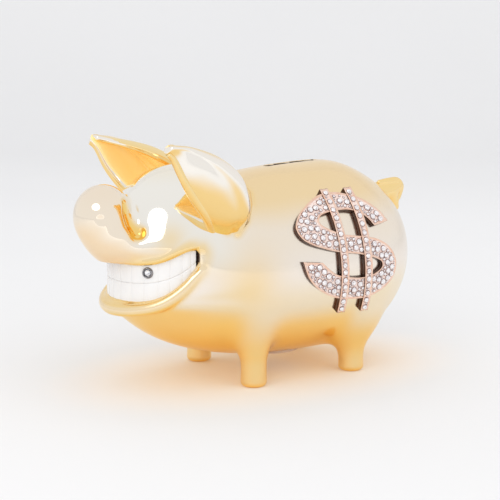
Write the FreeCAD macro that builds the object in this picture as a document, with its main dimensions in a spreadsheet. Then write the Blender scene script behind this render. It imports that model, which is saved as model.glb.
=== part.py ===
# A grinning piggy bank: a hollow gilt shell on four stub legs, with cupped ears, a curled tail,
# a band of teeth with one set stone, a coin slot along the back, a belly plug, and a raised
# currency sign set with small stones on its left flank.
# Millimetres. +Z is up, the feet stand on Z = 0, the snout points along -Y, the left flank is +X.
import FreeCAD, Part
import math
import os
from FreeCAD import Placement, Rotation, Vector

DIMENSIONS = [
    ("body_radius", 59.6),
    ("body_front_length", 139.3),
    ("body_rear_length", 64.9),
    ("body_centre_y", 44.2),
    ("body_centre_z", 70.9),
    ("body_tilt", 2.54),
    ("wall", 4.0),
    ("cavity_front_length", 124.5),
    ("head_radius", 42.0),
    ("head_y", -50.0),
    ("head_z", 90.0),
    ("mouth_y", -52.0),
    ("muzzle_y", -54.0),
    ("muzzle_half_width", 41.0),
    ("muzzle_half_length", 43.0),
    ("muzzle_half_height", 16.0),
    ("muzzle_z", 89.0),
    ("jaw_half_width", 41.0),
    ("jaw_half_length", 41.0),
    ("jaw_half_height", 11.0),
    ("jaw_z", 58.0),
    ("cheek_half_width", 44.0),
    ("cheek_half_length", 36.0),
    ("cheek_half_height", 30.0),
    ("cheek_y", -36.0),
    ("cheek_z", 74.0),
    ("snout_half_width", 18.5),
    ("snout_half_depth", 17.2),
    ("snout_half_height", 18.3),
    ("snout_y", -99.2),
    ("snout_z", 104.3),
    ("snout_stem_half_width", 24.0),
    ("snout_stem_half_depth", 18.0),
    ("snout_stem_half_height", 16.6),
    ("snout_stem_y", -92.0),
    ("snout_stem_z", 92.6),
    ("nostril_radius", 3.0),
    ("lower_lip_radius", 3.7),
    ("upper_lip_radius", 2.3),
    ("teeth_half_width", 41.0),
    ("teeth_half_length", 41.5),
    ("teeth_thickness", 3.8),
    ("tooth_groove_width", 0.5),
    ("tooth_groove_depth", 0.7),
    ("gem_angle", 41.0),
    ("gem_z", 73.5),
    ("gem_radius", 2.2),
    ("bezel_radius", 3.25),
    ("bezel_depth", 1.0),
    ("bezel_height", 1.0),
    ("foot_radius", 8.3),
    ("foot_rounding", 3.0),
    ("leg_waist_radius", 7.9),
    ("leg_waist_z", 9.0),
    ("leg_shoulder_radius", 9.0),
    ("leg_shoulder_z", 24.0),
    ("leg_top_radius", 11.0),
    ("leg_top_z", 46.0),
    ("front_leg_x", 35.0),
    ("front_leg_y", -18.0),
    ("rear_leg_x", 34.0),
    ("rear_leg_y", 54.0),
    ("slot_start_y", 10.8),
    ("slot_end_y", 48.2),
    ("slot_width", 5.0),
    ("slot_floor_z", 112.0),
    ("slot_top_z", 145.0),
    ("plug_y", 15.0),
    ("plug_bottom_z", 12.0),
    ("plug_flange_radius", 18.0),
    ("plug_flange_height", 2.2),
    ("plug_stem_radius", 14.0),
    ("plug_top_z", 22.6),
    ("plug_running_clearance", 0.06),
    ("plug_rim_radius", 22.0),
    ("plug_rim_top_z", 20.6),
    ("plug_pull_radius", 6.0),
    ("plug_pull_depth", 1.4),
    ("bar_lean", 4.0),
    ("sign_centre_y", 35.2),
    ("sign_centre_z", 84.0),
    ("sign_thickness", 2.6),
    ("bar_thickness", 3.4),
    ("bar_width", 5.2),
    ("bar_length", 74.5),
    ("bar_spacing", 17.0),
    ("bar_middle_y", 36.9),
    ("bar_middle_z", 80.8),
    ("stone_radius", 1.5),
    ("stone_height", 0.8),
    ("stone_pitch", 3.9),
    ("stone_row_offset", 3.0),
    ("ear_thickness", 3.2),
    ("ear_root_ball_radius", 8.5),
    ("tail_root_y", 96.0),
    ("tail_root_z", 106.0),
]


def fill_sheet(doc):
    sheet = doc.addObject("Spreadsheet::Sheet", "Dimensions")
    for row, (alias, value) in enumerate(DIMENSIONS, start=1):
        sheet.set("A%d" % row, alias.replace("_", " "))
        sheet.set("B%d" % row, "%g" % value)
        sheet.setAlias("B%d" % row, alias)
    doc.recompute()
    return sheet


def dim(alias):
    return float(SHEET.get(alias))


def bind(obj, prop, expression):
    obj.setExpression(prop, expression)
    return obj


def dims(text):
    """An expression over the sheet: every word that is an alias is read from the sheet."""
    words = text.split(" ")
    return " ".join("Dimensions." + w if w in ALIASES else w for w in words)


def ellipsoid(name, centre, along_x, along_y, along_z, rotation=None):
    obj = DOC.addObject("Part::Ellipsoid", name)
    bind(obj, "Radius2", dims(along_x))
    bind(obj, "Radius3", dims(along_y))
    bind(obj, "Radius1", dims(along_z))
    obj.Angle1 = -90
    obj.Angle2 = 90
    obj.Placement = Placement(Vector(*centre), rotation or Rotation())
    return obj


def cylinder(name, base, radius, height, axis=Vector(0, 0, 1)):
    obj = DOC.addObject("Part::Cylinder", name)
    bind(obj, "Radius", dims(radius))
    bind(obj, "Height", dims(height))
    obj.Placement = Placement(base, Rotation(Vector(0, 0, 1), axis))
    return obj


def feature(name, shape):
    obj = DOC.addObject("Part::Feature", name)
    obj.Shape = shape
    return obj


def unrefined(obj):
    """Keep every face of a boolean as it comes, since the blended faces don't merge cleanly."""
    obj.Refine = False
    return obj


def fuse(name, *objects):
    obj = DOC.addObject("Part::MultiFuse", name)
    obj.Shapes = list(objects)
    return unrefined(obj)


def common(name, *objects):
    obj = DOC.addObject("Part::MultiCommon", name)
    obj.Shapes = list(objects)
    return unrefined(obj)


def cut(name, base, tool):
    obj = DOC.addObject("Part::Cut", name)
    obj.Base = base
    obj.Tool = tool
    return unrefined(obj)


def egg(name, radius, front, rear):
    """Two half ellipsoids that share the widest circle of the body, long half towards the snout."""
    centre = (0, dim("body_centre_y"), dim("body_centre_z"))
    turn = Rotation(Vector(1, 0, 0), 90 + dim("body_tilt"))
    front_half = ellipsoid(name + "_front", centre, radius, radius, front, turn)
    front_half.Angle1 = 0
    rear_half = ellipsoid(name + "_rear", centre, radius, radius, rear, turn)
    rear_half.Angle2 = 0
    return fuse(name, front_half, rear_half)


def flank_x(y, z, offset=0.0):
    """Half width of the body at a side-view point, and the outward normal there."""
    tilt = math.radians(dim("body_tilt"))
    dy = y - dim("body_centre_y")
    dz = z - dim("body_centre_z")
    along = math.cos(tilt) * dy + math.sin(tilt) * dz
    across = -math.sin(tilt) * dy + math.cos(tilt) * dz
    radius = dim("body_radius") + offset
    length = (dim("body_rear_length") if along > 0 else dim("body_front_length")) + offset
    x = radius * math.sqrt(1 - (across / radius) ** 2 - (along / length) ** 2)
    ga = along / length**2
    gw = across / radius**2
    normal = Vector(
        x / radius**2,
        math.cos(tilt) * ga - math.sin(tilt) * gw,
        math.sin(tilt) * ga + math.cos(tilt) * gw,
    )
    return x, normal.normalize()


def spline_edge(points):
    curve = Part.BSplineCurve()
    curve.interpolate([Vector(*p) for p in points])
    return curve.toShape()


def mouth_point(angle, half_width, half_length, z):
    """A point round the front of the muzzle; angle 0 is straight ahead, 90 is the left side."""
    a = math.radians(angle)
    return (half_width * math.sin(a), dim("mouth_y") - half_length * math.cos(a), z)


def lower_edge_z(angle):
    """Height of the teeth's lower edge: flat in front, swept up to the mouth's corners."""
    return 54.8 + 32.0 * (abs(angle) / 85.0) ** 5


def upper_edge_z(angle):
    return 76.4 + 12.4 * (abs(angle) / 85.0) ** 2.5


def roll(name, radius, half_width, half_length, height_at, reach):
    """A round lip swept along the mouth's edge, with round ends."""
    angles = [reach * k / 8.0 for k in range(-8, 9)]
    points = [mouth_point(a, half_width, half_length, height_at(a)) for a in angles]
    path = Part.Wire([spline_edge(points)])
    start = Vector(*points[0])
    tangent = path.Edges[0].tangentAt(path.Edges[0].FirstParameter)
    ring = Part.Wire([Part.makeCircle(radius, start, tangent)])
    body = path.makePipeShell([ring], True, False)
    ends = [Part.makeSphere(radius, Vector(*p)) for p in (points[0], points[-1])]
    return feature(name, body.multiFuse(ends))


def oval_cylinder(half_width, half_length, z0, z1):
    centre = Vector(0, dim("mouth_y"), z0)
    if half_length > half_width:
        oval = Part.Ellipse(centre + Vector(0, half_length, 0), centre + Vector(half_width, 0, 0), centre)
    else:
        oval = Part.Ellipse(centre + Vector(half_width, 0, 0), centre + Vector(0, half_length, 0), centre)
    return Part.Face(Part.Wire([oval.toShape()])).extrude(Vector(0, 0, z1 - z0))


def smile_prism(upper, lower, half_width=70.0):
    """The side-view outline of the open mouth between two edges, drawn across the whole head."""
    angles = [0, 15, 30, 45, 58, 70, 80]
    half_length = dim("teeth_half_length")
    low = [(0, dim("mouth_y") - half_length * math.cos(math.radians(a)), lower(a)) for a in angles]
    high = [(0, dim("mouth_y") - half_length * math.cos(math.radians(a)), upper(a)) for a in angles]
    front = -30.0
    low_front = (0, low[0][1] + front, low[0][2])
    high_front = (0, high[0][1] + front, high[0][2])
    edges = [
        spline_edge(low),
        Part.makeLine(Vector(*low[-1]), Vector(*high[-1])),
        spline_edge(high),
        Part.makeLine(Vector(*high[0]), Vector(*high_front)),
        Part.makeLine(Vector(*high_front), Vector(*low_front)),
        Part.makeLine(Vector(*low_front), Vector(*low[0])),
    ]
    face = Part.Face(Part.Wire(Part.__sortEdges__(edges)))
    face.translate(Vector(-half_width, 0, 0))
    return face.extrude(Vector(2 * half_width, 0, 0))


def leg(name, x, y):
    """A stub leg turned round a vertical line: rounded foot, slight waist, flare into the belly."""
    foot = dim("foot_radius")
    round_foot = dim("foot_rounding")
    waist = dim("leg_waist_radius")
    waist_z = dim("leg_waist_z")
    shoulder = dim("leg_shoulder_radius")
    shoulder_z = dim("leg_shoulder_z")
    top = dim("leg_top_radius")
    top_z = dim("leg_top_z")
    corner = 1 - math.sqrt(0.5)
    outline = [
        Part.makeLine(Vector(0, 0, 0), Vector(foot - round_foot, 0, 0)),
        Part.Arc(
            Vector(foot - round_foot, 0, 0),
            Vector(foot - round_foot * corner, 0, round_foot * corner),
            Vector(foot, 0, round_foot),
        ).toShape(),
        spline_edge([
            (foot, 0, round_foot),
            (waist, 0, waist_z),
            (shoulder, 0, shoulder_z),
            (top, 0, top_z),
        ]),
        Part.makeLine(Vector(top, 0, top_z), Vector(0, 0, top_z)),
        Part.makeLine(Vector(0, 0, top_z), Vector(0, 0, 0)),
    ]
    solid = Part.Face(Part.Wire(outline)).revolve(Vector(0, 0, 0), Vector(0, 0, 1), 360)
    obj = feature(name, solid)
    obj.Placement = Placement(Vector(x, y, 0), Rotation())
    return obj


def legs():
    spots = [
        ("left_front", dim("front_leg_x"), dim("front_leg_y")),
        ("right_front", -dim("front_leg_x"), dim("front_leg_y")),
        ("left_rear", dim("rear_leg_x"), dim("rear_leg_y")),
        ("right_rear", -dim("rear_leg_x"), dim("rear_leg_y")),
    ]
    return [leg("leg_" + name, x, y) for name, x, y in spots]


def head_parts():
    head = head_ball("head_dome")
    muzzle = ellipsoid(
        "muzzle",
        (0, dim("muzzle_y"), dim("muzzle_z")),
        "muzzle_half_width",
        "muzzle_half_length",
        "muzzle_half_height",
    )
    jaw = ellipsoid(
        "jaw",
        (0, dim("mouth_y"), dim("jaw_z")),
        "jaw_half_width",
        "jaw_half_length",
        "jaw_half_height",
    )
    snout = ellipsoid(
        "snout",
        (0, dim("snout_y"), dim("snout_z")),
        "snout_half_width",
        "snout_half_depth",
        "snout_half_height",
    )
    stem = ellipsoid(
        "snout_stem",
        (0, dim("snout_stem_y"), dim("snout_stem_z")),
        "snout_stem_half_width",
        "snout_stem_half_depth",
        "snout_stem_half_height",
    )
    cheeks = ellipsoid(
        "cheeks",
        (0, dim("cheek_y"), dim("cheek_z")),
        "cheek_half_width",
        "cheek_half_length",
        "cheek_half_height",
    )
    return [head, muzzle, jaw, cheeks, snout, stem]


def lips():
    lower = roll(
        "lower_lip",
        dim("lower_lip_radius"),
        dim("teeth_half_width") + 1.6,
        dim("teeth_half_length") + 1.3,
        lambda a: 49.3 + 30.0 * (abs(a) / 84.0) ** 3.4,
        82,
    )
    upper = roll(
        "upper_lip",
        dim("upper_lip_radius"),
        dim("teeth_half_width") + 0.6,
        dim("teeth_half_length") + 0.6,
        lambda a: upper_edge_z(a) + 1.8,
        82,
    )
    return [lower, upper]


def coin_slot_tool():
    """A slot with round ends, cut down through the top of the back."""
    start = dim("slot_start_y")
    end = dim("slot_end_y")
    half = dim("slot_width") / 2
    box = DOC.addObject("Part::Box", "slot_box")
    bind(box, "Length", dims("slot_width"))
    bind(box, "Width", dims("slot_end_y - slot_start_y - slot_width"))
    bind(box, "Height", dims("slot_top_z - slot_floor_z"))
    box.Placement = Placement(Vector(-half, start + half, dim("slot_floor_z")), Rotation())
    tall = "slot_top_z - slot_floor_z"
    front = cylinder("slot_front_end", Vector(0, start + half, dim("slot_floor_z")), "slot_width / 2", tall)
    rear = cylinder("slot_rear_end", Vector(0, end - half, dim("slot_floor_z")), "slot_width / 2", tall)
    return fuse("slot_tool", box, front, rear)


def plug_hole_tool():
    low = Vector(0, dim("plug_y"), 2)
    seat_top = dim("plug_bottom_z") + dim("plug_flange_height")
    seat = cylinder(
        "plug_seat",
        low,
        "plug_flange_radius + 0.5",
        "plug_bottom_z + plug_flange_height - 2",
    )
    hole = cylinder("plug_hole", Vector(0, dim("plug_y"), seat_top - 1), "plug_stem_radius", "40")
    return fuse("plug_hole_tool", seat, hole)


def body_shell(lip_rolls):
    outer = egg("body_egg", "body_radius", "body_front_length", "body_rear_length")
    solid = fuse("solid_pig", outer, *(head_parts() + legs()))

    opening = feature("mouth_opening", smile_prism(upper_edge_z, lower_edge_z))
    inset = dim("teeth_thickness")
    core_shape = oval_cylinder(dim("teeth_half_width") - inset, dim("teeth_half_length") - inset, 30, 110)
    core = feature("mouth_core", core_shape)
    solid = cut("pig_with_mouth", solid, cut("mouth_recess", opening, core))
    solid = fuse("pig_with_lips", solid, *lip_rolls)

    cavity = egg(
        "cavity_egg",
        "body_radius - wall",
        "cavity_front_length",
        "body_rear_length - wall",
    )
    rim = cylinder(
        "plug_rim",
        Vector(0, dim("plug_y"), 9),
        "plug_rim_radius",
        "plug_rim_top_z - 9",
    )
    cavity = cut("body_cavity", cavity, rim)
    head_room = ellipsoid(
        "head_cavity",
        (0, dim("head_y"), dim("head_z")),
        "head_radius - 2 * wall",
        "head_radius - 2 * wall",
        "head_radius - 2 * wall",
    )
    cavity = fuse("coin_chamber", cavity, head_room)
    nostrils = []
    for side in (-1, 1):
        axis = Vector(0.25 * side, 1, -0.1)
        base = Vector(9.5 * side, dim("snout_y") - dim("snout_half_depth") - 6, dim("snout_z") - 1)
        nostrils.append(cylinder("nostril_%d" % (side + 2), base, "nostril_radius", "9", axis))
    tools = fuse("shell_tools", cavity, coin_slot_tool(), plug_hole_tool(), *nostrils)
    return cut("body_shell", solid, tools)


# Points of one ear from its root to its tip: the front rim, the back's middle line, the top rim.
EAR_FRONT = [(36, -44, 90), (42, -50, 98), (48, -57, 107), (51, -66, 118), (53, -73, 128), (53.5, -79, 139)]
EAR_BACK = [(40, -34, 92), (48, -37, 100.5), (56, -36.5, 108.5), (61.2, -43.3, 124), (60, -55, 136), (56, -69, 143.5)]
EAR_TOP = [(26, -32, 107), (30, -36, 118), (31, -42, 128), (33, -51, 137), (38, -60.5, 140.5), (46, -71.5, 144)]
EAR_TIP = (53, -81.5, 147)
TIP_SHARE = 0.8


def ear_section(front, back, top, thickness):
    """One cut across the ear: a crescent between two arcs, open towards the head."""
    across = top - front
    outward = back - (front + top) * 0.5
    rim = across * (thickness / across.Length)
    inner_back = back - outward * (thickness / outward.Length)
    return Part.Wire([
        Part.Arc(front, back, top).toShape(),
        Part.makeLine(top, top - rim),
        Part.Arc(top - rim, inner_back, front + rim).toShape(),
        Part.makeLine(front + rim, front),
    ])


def ear(name, side):
    """A cupped leaf lofted from root to tip, widest below its middle, on a rounded root."""
    rows = [[Vector(side * x, y, z) for x, y, z in row] for row in (EAR_FRONT, EAR_BACK, EAR_TOP)]
    tip = Vector(side * EAR_TIP[0], EAR_TIP[1], EAR_TIP[2])
    for row in rows:
        row.append(row[-1] + (tip - row[-1]) * TIP_SHARE)
    sections = []
    for front, back, top in zip(*rows):
        room = 0.3 * (top - front).Length
        sections.append(ear_section(front, back, top, min(dim("ear_thickness"), room)))
    blade = feature(name + "_blade", Part.makeLoft(sections, True, False))
    root = DOC.addObject("Part::Sphere", name + "_root")
    bind(root, "Radius", dims("ear_root_ball_radius"))
    root.Placement = Placement(Vector(37 * side, -42, 104), Rotation())
    on_head = cut(name + "_on_head", fuse(name + "_whole", blade, root), head_ball(name + "_head_seat"))
    return cut(name, on_head, DOC.getObject("body_egg"))


def head_ball(name):
    obj = DOC.addObject("Part::Sphere", name)
    bind(obj, "Radius", dims("head_radius"))
    obj.Placement = Placement(Vector(0, dim("head_y"), dim("head_z")), Rotation())
    return obj


def tail():
    """A short curl, thick at its root and pointed, bent up and over."""
    y0 = dim("tail_root_y")
    z0 = dim("tail_root_z")
    path = [(0, 0, 0, 8.0), (0, 8, 2, 7.6), (0, 15, 3.5, 6.6), (0, 20.5, 4.0, 4.4), (0, 22.8, 4.4, 1.6)]
    rings = []
    for x, y, z, radius in path:
        centre = Vector(x, y0 + y, z0 + z)
        rings.append(Part.Wire([Part.makeCircle(radius, centre, Vector(0, 1, 0.22))]))
    return feature("tail_curl", Part.makeLoft(rings, True, False))


def teeth_band(upper_edge, lower_edge, z0, z1):
    inset = dim("teeth_thickness")
    half_width = dim("teeth_half_width")
    half_length = dim("teeth_half_length")
    band = oval_cylinder(half_width, half_length, z0, z1)
    band = band.cut(oval_cylinder(half_width - inset, half_length - inset, z0 - 1, z1 + 1))
    return band.common(smile_prism(upper_edge, lower_edge))


# Angles round the muzzle where one tooth ends and the next begins, narrower towards the corners.
TOOTH_EDGES = (0, 12, 25, 37, 49, 59, 69, 76)


def tooth_grooves():
    """Thin upright cuts between the teeth, square to the band."""
    width = dim("tooth_groove_width")
    depth = dim("tooth_groove_depth")
    cuts = []
    for angle in sorted({side * a for side in (-1, 1) for a in TOOTH_EDGES}):
        point = Vector(*mouth_point(angle, dim("teeth_half_width"), dim("teeth_half_length"), 40))
        slit = Part.makeBox(width, 2 * depth, 60, Vector(-width / 2, -depth, 0))
        slit.Placement = Placement(point, Rotation(Vector(0, 0, 1), normal_heading(angle)))
        cuts.append(slit)
    return cuts


def tooth_normal(angle):
    a = math.radians(angle)
    out = Vector(math.sin(a) / dim("teeth_half_width"), -math.cos(a) / dim("teeth_half_length"), 0)
    return out.normalize()


def normal_heading(angle):
    out = tooth_normal(angle)
    return math.degrees(math.atan2(out.x, -out.y))


def middle_edge_z(angle):
    """The line where the upper and lower teeth meet."""
    return 66.5 + 16.0 * (abs(angle) / 84.0) ** 4


def teeth(lip_rolls, gem_seat):
    slits = tooth_grooves()
    half_gap = 0.25
    upper = teeth_band(upper_edge_z, lambda a: middle_edge_z(a) + half_gap, 50, 100).cut(slits)
    lower = teeth_band(lambda a: middle_edge_z(a) - half_gap, lower_edge_z, 50, 100).cut(slits)
    tool = fuse("lips_and_seat", gem_seat, *lip_rolls)
    upper_teeth = cut("upper_teeth", feature("upper_band", upper), tool)
    lower_teeth = cut("lower_teeth", feature("lower_band", lower), fuse("lips_only", *lip_rolls))
    return upper_teeth, lower_teeth


def gem_parts():
    angle = dim("gem_angle")
    out = tooth_normal(angle)
    face = Vector(*mouth_point(angle, dim("teeth_half_width"), dim("teeth_half_length"), dim("gem_z")))
    bottom = face - out * dim("bezel_depth")
    seat = cylinder("gem_seat", bottom, "bezel_radius", "bezel_depth + bezel_height", out)
    ring = cylinder("bezel_outside", bottom, "bezel_radius", "bezel_depth + bezel_height", out)
    bore = cylinder("bezel_bore", bottom, "gem_radius", "bezel_depth + bezel_height", out)
    bezel = cut("gem_bezel", ring, bore)
    radius = dim("gem_radius")
    pavilion = Part.makeCone(0.4, radius, 1.3, bottom, out)
    crown = Part.makeCone(radius, radius * 0.55, 0.9, bottom + out * 1.3, out)
    gem = feature("tooth_gem", pavilion.fuse(crown).removeSplitter())
    return seat, bezel, gem


def sign_point(u, v):
    """A point of the sign seen from the side: u towards the tail, v up, about the sign's centre."""
    return (0, dim("sign_centre_y") + u, dim("sign_centre_z") + v)


# Half of the S, from the tip of its upper arm over the top and down the spine to its lower arm;
# the other half is the same turned by half a turn.
S_OUTER = [
    (32.5, 14.5), (23.5, 23.0), (12.0, 28.6), (-4.0, 30.9), (-19.0, 28.0), (-31.5, 19.0),
    (-35.3, 10.5), (-31.0, 3.8), (-19.0, -0.8), (-3.0, -4.5),
]
S_INNER = [(-3.0, -4.5), (12.0, -8.2), (20.6, -13.0), (12.0, -18.6), (-4.0, -18.8), (-14.0, -14.6), (-20.8, -8.6)]
# The stroke's middle line, for the rows of stones.
S_MIDDLE = [
    (26.5, 15.6), (13.0, 22.6), (-3.0, 24.4), (-17.0, 21.4), (-27.0, 13.5), (-24.0, 5.0), (-12.0, 1.2), (0, 0),
]


def s_outline():
    outer = [sign_point(u, v) for u, v in S_OUTER]
    inner = [sign_point(u, v) for u, v in S_INNER]
    outer_back = [sign_point(-u, -v) for u, v in S_OUTER]
    inner_back = [sign_point(-u, -v) for u, v in S_INNER]
    edges = [
        spline_edge(outer),
        spline_edge(inner),
        Part.makeLine(Vector(*inner[-1]), Vector(*outer_back[0])),
        spline_edge(outer_back),
        spline_edge(inner_back),
        Part.makeLine(Vector(*inner_back[-1]), Vector(*outer[0])),
    ]
    return Part.Face(Part.Wire(edges))


def bar_outline(shift):
    """A long narrow bar that leans forward at its top; shift moves it towards the tail."""
    angle = math.radians(dim("bar_lean"))
    lean = Vector(0, -math.sin(angle), math.cos(angle))
    side = Vector(0, lean.z, -lean.y)
    middle = Vector(0, dim("bar_middle_y"), dim("bar_middle_z")) + side * shift
    up = lean * (dim("bar_length") / 2)
    out = side * (dim("bar_width") / 2)
    corners = [middle + up + out, middle + up - out, middle - up - out, middle - up + out]
    return Part.Face(Part.makePolygon(corners + corners[:1])), lean, middle


def flank_prism(name, face):
    return feature(name, face.extrude(Vector(90, 0, 0)))


def sign_parts():
    base_egg = egg("flank_face", "body_radius", "body_front_length", "body_rear_length")
    plate_egg = egg(
        "plate_face",
        "body_radius + sign_thickness",
        "body_front_length + sign_thickness",
        "body_rear_length + sign_thickness",
    )
    bar_egg = egg(
        "bar_face",
        "body_radius + bar_thickness",
        "body_front_length + bar_thickness",
        "body_rear_length + bar_thickness",
    )
    letter = flank_prism("s_prism", s_outline())
    s_plate = cut("dollar_s_plate", common("s_block", letter, plate_egg), base_egg)
    under_bar = fuse("flank_and_s", base_egg, s_plate)
    bars = []
    for name, shift in (("front", -dim("bar_spacing") / 2), ("rear", dim("bar_spacing") / 2)):
        strip = flank_prism("bar_prism_" + name, bar_outline(shift)[0])
        block = common("bar_block_" + name, strip, bar_egg)
        bars.append(cut("dollar_bar_" + name, block, under_bar))
    return s_plate, bars


def stone(y, z, offset):
    """One small round stone, a low cone frustum standing on the sign's face."""
    x, normal = flank_x(y, z, offset)
    radius = dim("stone_radius")
    base = Vector(x, y, z) + normal * 0.03
    return Part.makeCone(radius, radius * 0.55, dim("stone_height"), base, normal)


def under_bars(y, z):
    """True where a stone would meet one of the upright bars."""
    for shift in (-dim("bar_spacing") / 2, dim("bar_spacing") / 2):
        lean, middle = bar_outline(shift)[1:]
        away = (y - middle.y) * lean.z - (z - middle.z) * lean.y
        if abs(away) < dim("bar_width") / 2 + dim("stone_radius") + 0.3:
            return True
    return False


def s_stones():
    stones = []
    pitch = dim("stone_pitch")
    half = [sign_point(u, v) for u, v in S_MIDDLE]
    other = [sign_point(-u, -v) for u, v in reversed(S_MIDDLE[:-1])]
    edge = spline_edge(half + other)
    for row in (-1, 1):
        count = int(edge.Length / pitch)
        for k in range(count + 1):
            at = edge.getParameterByLength((k + 0.5 * (row > 0)) * edge.Length / (count + 1))
            point = edge.valueAt(at)
            along = edge.tangentAt(at)
            place = point + Vector(0, -along.z, along.y) * (row * dim("stone_row_offset"))
            if not under_bars(place.y, place.z):
                stones.append(stone(place.y, place.z, dim("sign_thickness")))
    return feature("s_stones", Part.makeCompound(apart(stones)))


def apart(stones):
    """Leave out any stone that would meet one already placed."""
    kept = []
    for item in stones:
        centre = item.BoundBox.Center
        if all((centre - other.BoundBox.Center).Length > 2 * dim("stone_radius") + 0.15 for other in kept):
            kept.append(item)
    return kept


def bar_stones(name, shift):
    lean, middle = bar_outline(shift)[1:]
    count = int((dim("bar_length") - 3) / dim("stone_pitch"))
    stones = []
    for k in range(count):
        point = middle + lean * ((k - (count - 1) / 2) * dim("stone_pitch"))
        stones.append(stone(point.y, point.z, dim("bar_thickness")))
    return feature(name, Part.makeCompound(stones))


def belly_plug():
    """A rubber plug: a flange that closes the belly's seat, a stem, and a thumb hollow below."""
    axis_low = Vector(0, dim("plug_y"), dim("plug_bottom_z"))
    flange = cylinder("plug_flange", axis_low, "plug_flange_radius", "plug_flange_height - 0.05")
    stem = cylinder(
        "plug_stem",
        axis_low,
        "plug_stem_radius - plug_running_clearance",
        "plug_top_z - plug_bottom_z",
    )
    hollow = cylinder("plug_hollow", axis_low, "plug_pull_radius", "plug_pull_depth")
    return cut("belly_plug", fuse("plug_solid", flange, stem), hollow)


def label(obj, name):
    obj.Label = name
    return obj


def build():
    lip_rolls = lips()
    shell = body_shell(lip_rolls)
    near_ear = ear("left_ear", 1)
    far_ear = ear("right_ear", -1)
    curl = cut("tail", tail(), DOC.getObject("body_egg"))
    seat, bezel, gem = gem_parts()
    upper_teeth, lower_teeth = teeth(lip_rolls, seat)
    s_plate, bars = sign_parts()
    spread = dim("bar_spacing") / 2
    parts = [
        label(shell, "body_shell"),
        label(near_ear, "left_ear"),
        label(far_ear, "right_ear"),
        label(curl, "tail"),
        label(upper_teeth, "upper_teeth"),
        label(lower_teeth, "lower_teeth"),
        label(bezel, "gem_bezel"),
        label(gem, "tooth_gem"),
        label(s_plate, "dollar_s_plate"),
        label(bars[0], "dollar_bar_front"),
        label(bars[1], "dollar_bar_rear"),
        label(s_stones(), "s_stones"),
        label(bar_stones("front_bar_stones", -spread), "front_bar_stones"),
        label(bar_stones("rear_bar_stones", spread), "rear_bar_stones"),
        label(belly_plug(), "belly_plug"),
    ]
    DOC.recompute()
    return parts


def check_and_export(parts):
    for obj in DOC.Objects:
        if "Invalid" in obj.State or "Error" in obj.State:
            raise RuntimeError("%s: %s" % (obj.Name, obj.State))
    os.makedirs("parts", exist_ok=True)
    for obj in parts:
        shape = obj.Shape
        if shape.isNull() or not shape.isValid() or not shape.Solids:
            raise RuntimeError("bad shape: " + obj.Label)
        shape.exportStep("parts/%s.step" % obj.Label)
        box = shape.BoundBox
        print("%-18s solids %3d volume %9.1f  x %7.1f %7.1f  y %7.1f %7.1f  z %6.1f %6.1f" % (
            obj.Label, len(shape.Solids), shape.Volume,
            box.XMin, box.XMax, box.YMin, box.YMax, box.ZMin, box.ZMax))


ALIASES = {alias for alias, value in DIMENSIONS}
DOC = FreeCAD.newDocument("piggy_bank")
SHEET = fill_sheet(DOC)
check_and_export(build())
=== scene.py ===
import math
import random

import bpy
import numpy as np
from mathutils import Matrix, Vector


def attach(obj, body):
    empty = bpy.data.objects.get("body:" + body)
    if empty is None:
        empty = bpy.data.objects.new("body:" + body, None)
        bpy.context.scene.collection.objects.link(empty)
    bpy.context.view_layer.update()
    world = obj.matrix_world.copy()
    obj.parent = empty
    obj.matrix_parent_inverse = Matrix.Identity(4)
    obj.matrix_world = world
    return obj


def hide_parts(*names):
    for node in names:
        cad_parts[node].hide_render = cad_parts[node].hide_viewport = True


# A gilt grinning piggy bank. Shapes are worked out in millimetres in the frame's own axes
# (+Z up, snout towards -Y, the sign on the +X flank) and written to the meshes in metres.

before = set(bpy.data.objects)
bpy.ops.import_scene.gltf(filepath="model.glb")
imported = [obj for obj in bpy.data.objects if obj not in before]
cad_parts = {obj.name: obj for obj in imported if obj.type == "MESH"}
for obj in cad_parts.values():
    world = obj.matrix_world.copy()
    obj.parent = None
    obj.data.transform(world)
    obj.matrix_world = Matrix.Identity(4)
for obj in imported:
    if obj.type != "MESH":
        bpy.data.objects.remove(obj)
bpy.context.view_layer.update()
MM = 0.001
GRID = 0.85


# ---------------------------------------------------------------- smooth solid modelling
def smin(a, b, k):
    h = np.clip(1 - np.abs(a - b) / k, 0, 1)
    return np.minimum(a, b) - k * h**3 / 6


def smax(a, b, k):
    return -smin(-a, -b, k)


def step(x, lo, hi):
    t = np.clip((x - lo) / (hi - lo), 0, 1)
    return t * t * (3 - 2 * t)


def ball(p, centre, radii, turn=None):
    d = p - np.array(centre, np.float32)
    if turn is not None:
        d = d @ turn
    r = np.array(radii, np.float32) * np.ones(3, np.float32)
    k0 = np.sqrt(((d / r) ** 2).sum(-1))
    k1 = np.sqrt(((d / r**2) ** 2).sum(-1)) + 1e-6
    return k0 * (k0 - 1) / k1


def about_x(degrees):
    c, s = math.cos(math.radians(degrees)), math.sin(math.radians(degrees))
    return np.array([[1, 0, 0], [0, c, -s], [0, s, c]], np.float32)


def tube(p, points, radii, reach=14.0):
    """A chain of round-ended rods whose radius changes along it."""
    pts = np.array(points, np.float32)
    rad = np.array(radii, np.float32) * np.ones(len(pts), np.float32)
    out = np.full(len(p), 1e3, np.float32)
    near = np.all((p > pts.min(0) - reach) & (p < pts.max(0) + reach), axis=1)
    q = p[near]
    if not len(q):
        return out
    best = np.full(len(q), 1e3, np.float32)
    for a, b, ra, rb in zip(pts[:-1], pts[1:], rad[:-1], rad[1:]):
        ab = b - a
        t = np.clip(((q - a) @ ab) / (ab @ ab), 0, 1)
        d = np.linalg.norm(q - a - t[:, None] * ab, axis=1) - (ra + (rb - ra) * t)
        best = np.minimum(best, d)
    out[near] = best
    return out


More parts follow.
